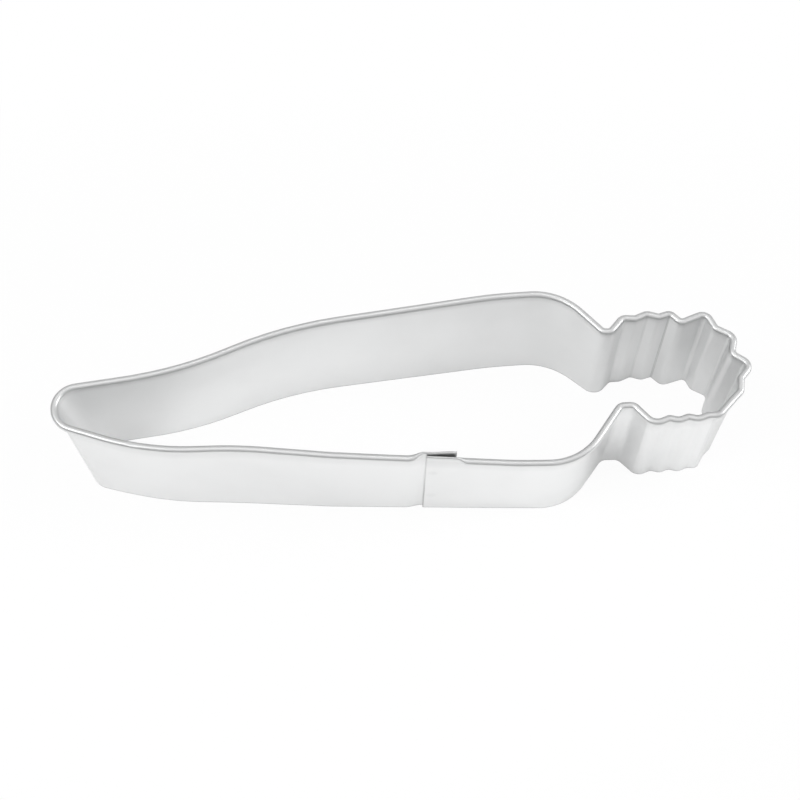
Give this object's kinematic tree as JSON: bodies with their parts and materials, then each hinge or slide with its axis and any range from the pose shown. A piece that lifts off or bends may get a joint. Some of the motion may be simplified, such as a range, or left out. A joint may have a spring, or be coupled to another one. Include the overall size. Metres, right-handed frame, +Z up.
{
  "type": "cookie cutter",
  "caption": "Carrot-shaped cookie cutter: an open loop of bright tinplate strip with a rolled rim, a plain cutting edge, a crinkled leaf and a lapped, spot-welded seam.",
  "frame": {"origin": "on the surface that the cutting edge stands on, under the middle of the outline's box", "axes": "+X along the carrot from its tip to its leaf, +Y from the seam side to the back, +Z up from the cutting edge to the rolled rim"},
  "size_m": [0.1284, 0.0362, 0.0254],
  "materials": {
    "tinplate": "bright satin tinplate",
    "fused_tin": "dull fused tin"
  },
  "bodies": {
    "root": {"cutter_strip": "tinplate", "lower_spot_weld": "fused_tin", "upper_spot_weld": "fused_tin"}
  },
  "joints": []
}
